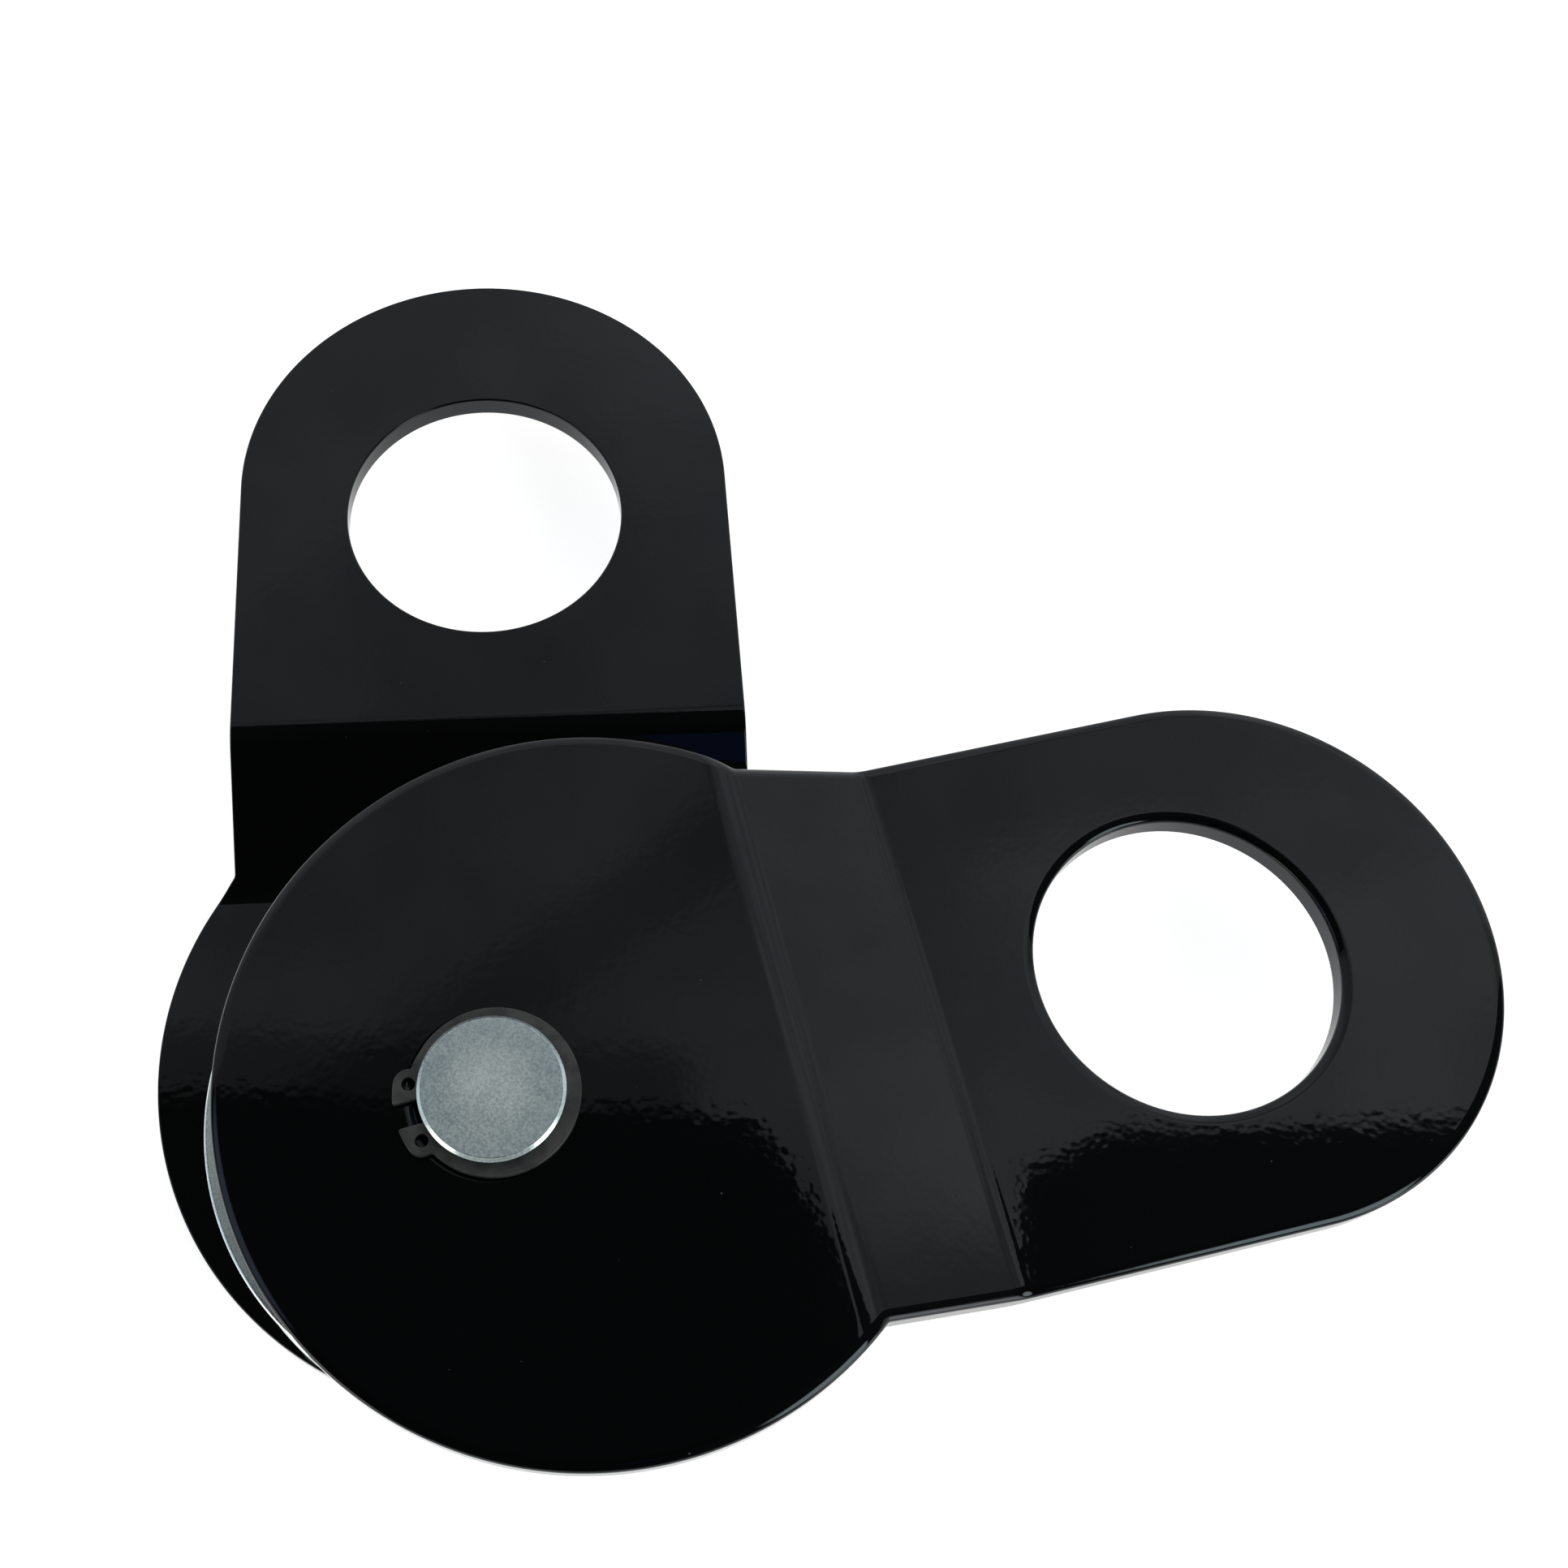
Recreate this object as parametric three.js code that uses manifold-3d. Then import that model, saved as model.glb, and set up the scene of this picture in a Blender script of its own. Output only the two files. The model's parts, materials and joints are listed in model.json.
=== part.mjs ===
// Single sheave snatch block: two joggled side plates that swing open on the axle pin,
// with a grooved sheave, its bushing and two thrust washers between them.
// Millimetres, +Z up along the axle pin. The origin is the centre of the pin's lower end face.
// The lower plate's arm points along +Y, and the upper plate is swung open towards +X.

import * as THREE from "three";
import { mergeVertices } from "three/addons/utils/BufferGeometryUtils.js";
import Module from "manifold-3d";

const wasm = await Module();
wasm.setup();

const radians = THREE.MathUtils.degToRad;

// ---------- driving dimensions ----------

const PLATE_THICKNESS = 5.5;
const PLATE_GAP = 30; // clear space between the two discs
const EYE_GAP = 1; // clear space between the two eyes when they are aligned
const OPEN_ANGLE = radians(-79.8); // the upper arm, from the lower arm

const DISC_RADIUS = 63.5;
const DISC_OFFSET = 16.5; // disc centre, from the pin towards the eye
const ARM_HALF_WIDTH = 50.5;
const NECK_FILLET = 1.5;
const END_CENTRE = 137; // centre of the arm's round end, from the pin
const EYE_CENTRE = 129; // centre of the shackle hole, from the pin
const EYE_RADIUS = 28.25;
const BEND_START = 52; // first corner of the sheet's mid line, from the pin
const BEND_END = 80; // second corner of the sheet's mid line, from the pin
const BEND_RADIUS = 10; // of the sheet's mid line

const PIN_RADIUS = 12.5;
const PIN_CHAMFER = 0.6;
const PIN_LAND = 2.55; // pin left between each circlip groove and the end face
const GROOVE_RADIUS = 11.95;
const GROOVE_WIDTH = 1.3;

const CIRCLIP_THICKNESS = 1.2;
const CIRCLIP_PLAY = 0.3; // between circlip and plate
const CIRCLIP_BACK = 3; // radial width opposite the gap
const CIRCLIP_FRONT = 2; // radial width beside the lugs
const CIRCLIP_HALF_GAP = 2.1;
const LUG_CENTRE = 14.1; // of each lug's hole, from the pin's axis
const LUG_ANGLE = radians(20.5); // of each lug's hole, from the gap's middle
const LUG_RADIUS = 2.6;
const LUG_HOLE_RADIUS = 1.15;
const UPPER_GAP_ANGLE = radians(193); // way the upper circlip's gap faces
const LOWER_GAP_ANGLE = radians(-52);

const SHEAVE_RADIUS = 49.8;
const HUB_RADIUS = 21;
const HUB_FOOT_RADIUS = 25;
const HUB_WIDTH = 26;
const WEB_RADIUS = 38;
const WEB_WIDTH = 18;
const RIM_FOOT_RADIUS = 41;
const RIM_WIDTH = 21;
const ROPE_GROOVE_RADIUS = 6.2;
const ROPE_GROOVE_DEPTH = 13.3;
const ROPE_GROOVE_FLARE = radians(14); // lean of each flank
const BUSHING_WALL = 3;
const WASHER_THICKNESS = 1.5;
const WASHER_RADIUS = 20;

const RUNNING_GAP = 0.15; // radial, between pin and bushing
const PRESS_GAP = 0.05; // radial, between pieces that are fitted tight
const HOLE_GAP = 0.4; // radial, between the pin and the plates or washers

const LARGE_SIDES = 72; // facets of a large circle
const SHAFT_SIDES = 60; // facets of a shaft or its hole
const SMALL_SIDES = 20; // facets of a lug

// ---------- places along the pin ----------

const PIN_STICK_OUT = CIRCLIP_PLAY + CIRCLIP_THICKNESS + PIN_LAND + (GROOVE_WIDTH - CIRCLIP_THICKNESS) / 2;
const MIDDLE = PIN_STICK_OUT + PLATE_THICKNESS + PLATE_GAP / 2;
const PIN_LENGTH = 2 * MIDDLE;
const PLATE_OFFSET = (PLATE_GAP + PLATE_THICKNESS) / 2; // from the middle, as are the next two
const CIRCLIP_OFFSET = MIDDLE - PIN_LAND - GROOVE_WIDTH / 2;
const WASHER_OFFSET = (HUB_WIDTH + PLATE_GAP) / 4;
const JOGGLE = (PLATE_GAP - EYE_GAP) / 2;

// ---------- from three.js geometry to solids and back ----------

/** A closed geometry as a manifold-3d solid. */
function solid(geometry) {
  const bare = geometry.index ? geometry.toNonIndexed() : geometry.clone();
  bare.deleteAttribute("normal");
  bare.deleteAttribute("uv");
  const merged = mergeVertices(bare, 1e-4);
  const mesh = new wasm.Mesh({
    numProp: 3,
    vertProperties: merged.attributes.position.array,
    triVerts: new Uint32Array(merged.index.array),
  });
  return new wasm.Manifold(mesh);
}

/** A solid as a BufferGeometry. */
function geometryOf(body) {
  const mesh = body.getMesh();
  const geometry = new THREE.BufferGeometry();
  geometry.setAttribute("position", new THREE.BufferAttribute(mesh.vertProperties, mesh.numProp));
  geometry.setIndex(new THREE.BufferAttribute(mesh.triVerts, 1));
  geometry.computeVertexNormals();
  return geometry;
}

/** A flat outline raised into a prism from z = low to z = high. */
function prism(outline, low, high, curveSegments) {
  const options = { depth: high - low, bevelEnabled: false, curveSegments };
  return solid(new THREE.ExtrudeGeometry(outline, options).translate(0, 0, low));
}

/** An upright round post at (x, y). */
function post(radius, x, y, low, high, sides) {
  const round = new THREE.CylinderGeometry(radius, radius, high - low, sides);
  return solid(round.rotateX(Math.PI / 2).translate(x, y, (low + high) / 2));
}

/** A section of [radius, z] points turned about the Z axis. */
function turned(section, sides) {
  const points = section.map(([r, z]) => new THREE.Vector2(r, z));
  return new THREE.LatheGeometry(points, sides).rotateX(Math.PI / 2);
}

/** Points of an arc about (cx, cy), both ends included. */
function arc(cx, cy, radius, from, to, steps) {
  return Array.from({ length: steps + 1 }, (_, i) => {
    const angle = from + ((to - from) * i) / steps;
    return [cx + radius * Math.cos(angle), cy + radius * Math.sin(angle)];
  });
}

// ---------- side plates ----------

/** The plate from above: a disc, a parallel arm and a round end, with a small fillet in each neck. */
function plateOutline() {
  const neckX = ARM_HALF_WIDTH + NECK_FILLET;
  const neckRise = Math.sqrt((DISC_RADIUS + NECK_FILLET) ** 2 - neckX ** 2);
  const neckY = DISC_OFFSET + neckRise;
  const neckAngle = Math.atan2(neckRise, neckX);
  const outline = new THREE.Shape();
  outline.moveTo(ARM_HALF_WIDTH, neckY);
  outline.absarc(0, END_CENTRE, ARM_HALF_WIDTH, 0, Math.PI, false);
  outline.absarc(-neckX, neckY, NECK_FILLET, 0, -neckAngle, true);
  outline.absarc(0, DISC_OFFSET, DISC_RADIUS, Math.PI - neckAngle, 2 * Math.PI + neckAngle, false);
  outline.absarc(neckX, neckY, NECK_FILLET, Math.PI + neckAngle, Math.PI, true);
  return outline;
}

/** The joggled sheet from the side, as [y, z]: its mid line runs from z = 0 to z = JOGGLE. */
function joggleSection(back, front) {
  const slope = Math.atan2(JOGGLE, BEND_END - BEND_START);
  const tangent = BEND_RADIUS * Math.tan(slope / 2);
  const half = PLATE_THICKNESS / 2;
  const quarter = Math.PI / 2;
  const first = [BEND_START - tangent, BEND_RADIUS];
  const second = [BEND_END + tangent, JOGGLE - BEND_RADIUS];
  const steps = 5;
  return [
    [back, -half],
    ...arc(...first, BEND_RADIUS + half, -quarter, slope - quarter, steps),
    ...arc(...second, BEND_RADIUS - half, quarter + slope, quarter, steps),
    [front, JOGGLE - half],
    [front, JOGGLE + half],
    ...arc(...second, BEND_RADIUS + half, quarter, quarter + slope, steps),
    ...arc(...first, BEND_RADIUS - half, slope - quarter, -quarter, steps),
    [back, half],
  ];
}

/** A side plate whose disc has its mid plane at z = 0 and whose eye stands higher by the joggle. */
function sidePlate() {
  const margin = 5;
  const reach = DISC_RADIUS + margin;
  const section = joggleSection(DISC_OFFSET - reach, END_CENTRE + ARM_HALF_WIDTH + margin);
  const side = new THREE.Shape(section.map(([y, z]) => new THREE.Vector2(y, z)));
  const sheet = new THREE.ExtrudeGeometry(side, { depth: 2 * reach, bevelEnabled: false });
  // The section's own x and y become Y and Z, and its depth becomes X.
  sheet.rotateX(Math.PI / 2).rotateZ(Math.PI / 2).translate(-reach, 0, 0);
  const low = -PLATE_THICKNESS;
  const high = JOGGLE + PLATE_THICKNESS;
  return solid(sheet)
    .intersect(prism(plateOutline(), low, high, LARGE_SIDES / 2))
    .subtract(post(PIN_RADIUS + HOLE_GAP, 0, 0, low, high, SHAFT_SIDES))
    .subtract(post(EYE_RADIUS, 0, EYE_CENTRE, low, high, LARGE_SIDES));
}

// ---------- pin and circlips ----------

/** The axle pin, centred on z = 0, with a circlip groove near each end. */
function axlePin() {
  const end = PIN_LENGTH / 2;
  const grooveEnd = end - PIN_LAND;
  const grooveStart = grooveEnd - GROOVE_WIDTH;
  const upper = [
    [PIN_RADIUS, grooveStart],
    [GROOVE_RADIUS, grooveStart],
    [GROOVE_RADIUS, grooveEnd],
    [PIN_RADIUS, grooveEnd],
    [PIN_RADIUS, end - PIN_CHAMFER],
    [PIN_RADIUS - PIN_CHAMFER, end],
    [0, end],
  ];
  const lower = upper.map(([r, z]) => [r, -z]).reverse();
  return turned([...lower, ...upper], SHAFT_SIDES);
}

/** A flat external circlip centred on z = 0, with its gap towards +X. */
function circlip() {
  const half = CIRCLIP_THICKNESS / 2;
  const cut = CIRCLIP_THICKNESS; // half height of every cutter
  const bore = GROOVE_RADIUS + PRESS_GAP;
  const outer = bore + (CIRCLIP_BACK + CIRCLIP_FRONT) / 2;
  const shift = (CIRCLIP_FRONT - CIRCLIP_BACK) / 2;
  const lugs = [LUG_ANGLE, -LUG_ANGLE].map((a) => [LUG_CENTRE * Math.cos(a), LUG_CENTRE * Math.sin(a)]);
  // The lugs run square up to the gap, so a sector as deep as they are joins them first.
  const sector = new THREE.Shape();
  sector.moveTo(0, 0);
  sector.absarc(0, 0, LUG_CENTRE + LUG_RADIUS, -LUG_ANGLE, LUG_ANGLE, false);
  const gap = new THREE.BoxGeometry(outer, 2 * CIRCLIP_HALF_GAP, 2 * cut);
  let clip = post(outer, shift, 0, -half, half, SHAFT_SIDES).add(prism(sector, -half, half, SMALL_SIDES));
  for (const [x, y] of lugs) {
    clip = clip.add(post(LUG_RADIUS, x, y, -half, half, SMALL_SIDES));
  }
  clip = clip.subtract(post(bore, 0, 0, -cut, cut, SHAFT_SIDES));
  clip = clip.subtract(solid(gap.translate(outer, 0, 0)));
  for (const [x, y] of lugs) {
    clip = clip.subtract(post(LUG_HOLE_RADIUS, x, y, -cut, cut, SMALL_SIDES));
  }
  return geometryOf(clip);
}

// ---------- sheave, bushing and washers ----------

/** The sheave: a hub, a thin web and a rim whose rope groove has straight, flared flanks. */
function sheave() {
  const bore = PIN_RADIUS + RUNNING_GAP + BUSHING_WALL + PRESS_GAP;
  const rim = RIM_WIDTH / 2;
  const grooveCentre = SHEAVE_RADIUS - ROPE_GROOVE_DEPTH + ROPE_GROOVE_RADIUS;
  const lean = ROPE_GROOVE_FLARE;
  const flankFoot = [
    grooveCentre - ROPE_GROOVE_RADIUS * Math.sin(lean),
    ROPE_GROOVE_RADIUS * Math.cos(lean),
  ];
  // The rim's round edge touches the side face, the outer diameter and the flank.
  const room = (rim - flankFoot[1]) * Math.cos(lean) - (SHEAVE_RADIUS - flankFoot[0]) * Math.sin(lean);
  const edge = room / (1 + Math.cos(lean) - Math.sin(lean));
  const upper = [
    [bore, HUB_WIDTH / 2],
    [HUB_RADIUS, HUB_WIDTH / 2],
    [HUB_FOOT_RADIUS, WEB_WIDTH / 2],
    [WEB_RADIUS, WEB_WIDTH / 2],
    [RIM_FOOT_RADIUS, rim],
    ...arc(SHEAVE_RADIUS - edge, rim - edge, edge, Math.PI / 2, lean - Math.PI / 2, 5),
    ...arc(grooveCentre, 0, ROPE_GROOVE_RADIUS, Math.PI / 2 + lean, Math.PI, 5),
  ];
  const lower = upper.slice(0, -1).map(([r, z]) => [r, -z]);
  const section = [...lower, ...upper.reverse(), lower[0]];
  return turned(section, LARGE_SIDES);
}

/** A plain ring about the Z axis, centred on z = 0. */
function ring(inner, outer, height) {
  const half = height / 2;
  const section = [
    [inner, -half],
    [outer, -half],
    [outer, half],
    [inner, half],
    [inner, -half],
  ];
  return turned(section, SHAFT_SIDES);
}

// ---------- materials ----------

function finish(color, roughness, metalness) {
  return new THREE.MeshStandardMaterial({ color, roughness, metalness });
}

const blackPaint = finish(0x08090a, 0.12, 0);
const zincPlate = finish(0xb4babd, 0.35, 1);
const springSteel = finish(0x35322e, 0.4, 1);
const bronze = finish(0xa9793e, 0.4, 1);
const washerSteel = finish(0x9a9c9e, 0.35, 1);

// ---------- assembly ----------

/** Adds a named mesh to a group, at a height and turned about the pin. */
function place(parent, name, geometry, material, z, angle = 0) {
  const mesh = new THREE.Mesh(geometry, material);
  mesh.name = name;
  mesh.position.z = z;
  mesh.rotation.z = angle;
  parent.add(mesh);
}

const block = new THREE.Group();
block.position.z = MIDDLE;

const plate = sidePlate();
const flippedPlate = plate.mirror([0, 0, 1]);
place(block, "lower_side_plate", geometryOf(plate), blackPaint, -PLATE_OFFSET);
place(block, "upper_side_plate", geometryOf(flippedPlate), blackPaint, PLATE_OFFSET, OPEN_ANGLE);

place(block, "axle_pin", axlePin(), zincPlate, 0);
place(block, "lower_circlip", circlip(), springSteel, -CIRCLIP_OFFSET, LOWER_GAP_ANGLE);
place(block, "upper_circlip", circlip(), springSteel, CIRCLIP_OFFSET, UPPER_GAP_ANGLE);

const bushingBore = PIN_RADIUS + RUNNING_GAP;
const washer = ring(PIN_RADIUS + HOLE_GAP, WASHER_RADIUS, WASHER_THICKNESS);
place(block, "sheave", sheave(), zincPlate, 0);
place(block, "sheave_bushing", ring(bushingBore, bushingBore + BUSHING_WALL, HUB_WIDTH), bronze, 0);
place(block, "lower_thrust_washer", washer, washerSteel, -WASHER_OFFSET);
place(block, "upper_thrust_washer", washer, washerSteel, WASHER_OFFSET);

export default block;
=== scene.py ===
"""Looks for the single sheave snatch block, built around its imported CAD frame.

Each visible piece is rebuilt here as a fine mesh with rounded edges and stands for the CAD node of
the same size. Lengths are in metres, in the frame of the CAD: +Z along the axle pin, the lower
plate's arm along +Y, and the origin at the centre of the pin's lower end face.
"""

import json
import math

import bpy
from mathutils import Matrix, Vector
from mathutils.geometry import delaunay_2d_cdt


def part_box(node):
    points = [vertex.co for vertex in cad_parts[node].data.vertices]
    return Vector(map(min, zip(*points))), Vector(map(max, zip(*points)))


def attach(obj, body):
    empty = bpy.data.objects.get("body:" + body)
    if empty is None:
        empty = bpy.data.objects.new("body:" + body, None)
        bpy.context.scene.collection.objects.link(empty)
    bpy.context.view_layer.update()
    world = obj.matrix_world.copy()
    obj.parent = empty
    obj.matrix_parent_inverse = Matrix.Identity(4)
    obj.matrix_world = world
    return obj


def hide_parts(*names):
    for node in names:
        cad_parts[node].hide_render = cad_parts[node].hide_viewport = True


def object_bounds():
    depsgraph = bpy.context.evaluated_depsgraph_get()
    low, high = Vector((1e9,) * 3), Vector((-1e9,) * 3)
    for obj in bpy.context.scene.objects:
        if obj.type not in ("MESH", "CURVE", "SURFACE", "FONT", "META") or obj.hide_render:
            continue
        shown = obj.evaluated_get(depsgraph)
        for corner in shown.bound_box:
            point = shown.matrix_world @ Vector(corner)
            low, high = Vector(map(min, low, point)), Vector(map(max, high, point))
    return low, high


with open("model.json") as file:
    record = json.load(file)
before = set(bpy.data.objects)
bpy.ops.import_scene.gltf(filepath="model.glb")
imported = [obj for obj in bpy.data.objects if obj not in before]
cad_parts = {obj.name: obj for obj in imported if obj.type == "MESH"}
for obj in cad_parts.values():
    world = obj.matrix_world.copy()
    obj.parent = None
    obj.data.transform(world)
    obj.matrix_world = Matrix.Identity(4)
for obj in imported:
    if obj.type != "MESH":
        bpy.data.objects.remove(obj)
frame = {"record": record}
cad_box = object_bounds()

MM = 0.001

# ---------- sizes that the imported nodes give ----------

pin_low, pin_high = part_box("axle_pin")
plate_low, plate_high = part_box("lower_side_plate")
sheave_low, sheave_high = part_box("sheave")
bushing_low, bushing_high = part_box("sheave_bushing")
washer_low, washer_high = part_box("upper_thrust_washer")
clip_low, clip_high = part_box("upper_circlip")

PIN_RADIUS = pin_high.x
PIN_LENGTH = pin_high.z
MIDDLE = PIN_LENGTH / 2
CLIP_THICKNESS = clip_high.z - clip_low.z
CLIP_MIDDLE = (clip_high.z + clip_low.z) / 2 - MIDDLE
WASHER_THICKNESS = washer_high.z - washer_low.z
WASHER_RADIUS = washer_high.x
WASHER_MIDDLE = (washer_high.z + washer_low.z) / 2 - MIDDLE
SHEAVE_RADIUS = sheave_high.x
HUB_WIDTH = sheave_high.z - sheave_low.z
BUSHING_RADIUS = bushing_high.x

# ---------- sizes inside the outlines, the same as the CAD's ----------

PLATE_THICKNESS = 5.5 * MM
CUT_EDGE = 0.4 * MM  # rounding of the inner face's edges under the paint
ROLL_EDGE = 0.8 * MM  # rounding of the outer face's edges, past the rolled-over strip
ROLL_WIDTH = 2.1 * MM  # rolled-over edge that the press leaves on the plate's outer face
ROLL_ANGLE = math.radians(28)
ARM_HALF_WIDTH = 50.5 * MM
NECK_FILLET = 1.5 * MM
EYE_CENTRE = 129 * MM
EYE_RADIUS = 28.25 * MM
BEND_START = 52 * MM
BEND_END = 80 * MM
BEND_RADIUS = 10 * MM
HOLE_RADIUS = PIN_RADIUS + 0.4 * MM
OPEN_ANGLE = math.radians(-79.8)

DISC_RADIUS = 63.5 * MM
DISC_OFFSET = plate_low.y + DISC_RADIUS
END_CENTRE = plate_high.y - ARM_HALF_WIDTH
JOGGLE = plate_high.z - plate_low.z - PLATE_THICKNESS
PLATE_MIDDLE = MIDDLE - plate_low.z - PLATE_THICKNESS / 2  # from the middle of the block

GROOVE_RADIUS = 11.95 * MM  # the pin's circlip grooves
GROOVE_HALF_WIDTH = 0.65 * MM
PIN_CHAMFER = 0.6 * MM
PIN_SOFT = 0.12 * MM

RIM_HALF_WIDTH = 10.5 * MM
WEB_HALF_WIDTH = 9 * MM
HUB_RADIUS = 21 * MM
WEB_INNER_RADIUS = 25 * MM
WEB_OUTER_RADIUS = 38 * MM
RIM_INNER_RADIUS = 41 * MM
ROPE_GROOVE_DEPTH = 13.3 * MM
ROPE_GROOVE_RADIUS = 6.2 * MM
FLANK_LEAN = math.radians(14)

CLIP_BORE_RADIUS = 12 * MM
CLIP_OUTER_RADIUS = 14.5 * MM
CLIP_OUTER_SHIFT = -0.5 * MM  # the ring is widest opposite its gap
CLIP_HALF_GAP = 2.1 * MM
LUG_CENTRE = 14.1 * MM
LUG_RADIUS = 2.6 * MM
LUG_ANGLE = math.radians(20.5)
LUG_HOLE_RADIUS = 1.15 * MM
CLIP_SOFT = 0.14 * MM

PAINT_BLACK = (0.001, 0.0012, 0.0015)
FLOOR_GLOW = 0.78
FLOOR_HALF = 12.0
CAMERA_PLACE = Vector((11.67, -89.57, 362.9)) * MM
CAMERA_AIM = Vector((29.66, 76.72, 24.6)) * MM
CAMERA_ROLL = math.radians(3.485)
CAMERA_LENS = 44.269  # mm, on a sensor 36 mm wide
CAMERA_SHIFT = (0.0911, -0.03325)  # the picture's centre is right of and below the lens's axis

QUARTER = math.pi / 2


# ---------- meshes ----------

def finish_mesh(name, verts, faces, normals=None):
    """A smooth shaded object from plain lists, with its exact normals where they are known."""
    mesh = bpy.data.meshes.new(name)
    mesh.from_pydata([tuple(v) for v in verts], [], faces)
    mesh.validate()
    mesh.shade_smooth()
    if normals:
        mesh.normals_split_custom_set_from_vertices([tuple(n) for n in normals])
    obj = bpy.data.objects.new(name, mesh)
    bpy.context.scene.collection.objects.link(obj)
    return obj


def arc(centre, radius, start, end, steps):
    """Points of an arc, with both ends, as ((x, y), (nx, ny)) where n points away from the centre."""
    made = []
    for i in range(steps + 1):
        angle = start + (end - start) * i / steps
        way = (math.cos(angle), math.sin(angle))
        made.append(((centre[0] + radius * way[0], centre[1] + radius * way[1]), way))
    return made


# ---------- side plates ----------

class Joggle:
    """Heights and slopes of one surface of the joggled sheet, above the disc's mid plane."""

    def __init__(self, side):
        half = side * PLATE_THICKNESS / 2
        self.slope = math.atan2(JOGGLE, BEND_END - BEND_START)
        tangent = BEND_RADIUS * math.tan(self.slope / 2)
        self.first = BEND_START - tangent
        self.second = BEND_END + tangent
        self.first_radius = BEND_RADIUS - half
        self.second_radius = BEND_RADIUS + half
        self.first_end = self.first + self.first_radius * math.sin(self.slope)
        self.second_start = self.second - self.second_radius * math.sin(self.slope)

    def at(self, y):
        """Height and dz/dy at y."""
        if y <= self.first:
            return BEND_RADIUS - self.first_radius, 0.0
        if y < self.first_end:
            run = y - self.first
            drop = math.sqrt(self.first_radius**2 - run**2)
            return BEND_RADIUS - drop, run / drop
        if y <= self.second_start:
            base = BEND_RADIUS - self.first_radius * math.cos(self.slope)
            return base + (y - self.first_end) * math.tan(self.slope), math.tan(self.slope)
        if y < self.second:
            run = self.second - y
            drop = math.sqrt(self.second_radius**2 - run**2)
            return JOGGLE - BEND_RADIUS + drop, run / drop
        return JOGGLE - BEND_RADIUS + self.second_radius, 0.0

    def rows(self, steps):
        """Values of y where the surface turns, from the start of each bend to its end."""
        made = []
        for start, end in ((self.first, self.first_end), (self.second_start, self.second)):
            made += [start + (end - start) * i / steps for i in range(steps + 1)]
        return made


def straight(start, end, normal, rows, spacing):
    """Points strictly between two corners of the outline that run along Y, closer where it bends."""
    low, high = sorted((start[1], end[1]))
    count = max(1, round((high - low) / spacing))
    values = {round(low + (high - low) * i / count, 7) for i in range(1, count)}
    values |= {round(y, 7) for y in rows if low + 0.3 * MM < y < high - 0.3 * MM}
    made = [((start[0], y), normal) for y in sorted(values)]
    return made if end[1] > start[1] else made[::-1]


def plate_outline(rows):
    """The plate's edge from above, anticlockwise: round end, neck, disc and neck."""
    neck_x = ARM_HALF_WIDTH + NECK_FILLET
    neck_rise = math.sqrt((DISC_RADIUS + NECK_FILLET) ** 2 - neck_x**2)
    neck_y = DISC_OFFSET + neck_rise
    turn = math.atan2(neck_rise, neck_x)
    right = (neck_x, neck_y)
    left = (-neck_x, neck_y)
    made = arc((0, END_CENTRE), ARM_HALF_WIDTH, 0, math.pi, 120)
    made += straight((-ARM_HALF_WIDTH, END_CENTRE), (-ARM_HALF_WIDTH, neck_y), (-1, 0), rows, 3 * MM)
    made += [(p, (-n[0], -n[1])) for p, n in arc(left, NECK_FILLET, 0, -turn, 8)]
    made += arc((0, DISC_OFFSET), DISC_RADIUS, math.pi - turn, 2 * math.pi + turn, 200)[1:-1]
    made += [(p, (-n[0], -n[1])) for p, n in arc(right, NECK_FILLET, math.pi + turn, math.pi, 8)]
    made += straight((ARM_HALF_WIDTH, neck_y), (ARM_HALF_WIDTH, END_CENTRE), (1, 0), rows, 3 * MM)
    return made


def round_hole(centre, radius, steps):
    """A hole's edge, clockwise, with its normals pointing into the hole."""
    made = arc(centre, radius, 0, -2 * math.pi, steps)[:-1]
    return [(p, (-n[0], -n[1])) for p, n in made]


def inside_plate(x, y, margin):
    """Whether a point lies on the plate's material, at least margin from any edge."""
    if math.hypot(x, y) < HOLE_RADIUS + margin:
        return False
    if math.hypot(x, y - EYE_CENTRE) < EYE_RADIUS + margin:
        return False
    if math.hypot(x, y - DISC_OFFSET) < DISC_RADIUS - margin:
        return True
    if DISC_OFFSET < y < END_CENTRE:
        return abs(x) < ARM_HALF_WIDTH - margin
    return math.hypot(x, y - END_CENTRE) < ARM_HALF_WIDTH - margin


def plate_field(rows, spacing):
    """Inner points of a face: rows across the bends and a staggered grid elsewhere."""
    points = []
    for y in rows:
        count = round(2 * DISC_RADIUS / spacing)
        points += [((i / count - 0.5) * 2 * DISC_RADIUS, y) for i in range(count + 1)]
    y = DISC_OFFSET - DISC_RADIUS
    odd = False
    while y < END_CENTRE + ARM_HALF_WIDTH:
        if all(abs(y - row) > 0.6 * spacing for row in rows):
            x = -DISC_RADIUS + (spacing / 2 if odd else 0)
            while x < DISC_RADIUS:
                points.append((x, y))
                x += spacing
        y += 0.87 * spacing
        odd = not odd
    return [p for p in points if inside_plate(*p, margin=ROLL_WIDTH + 0.35 * spacing)]


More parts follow.
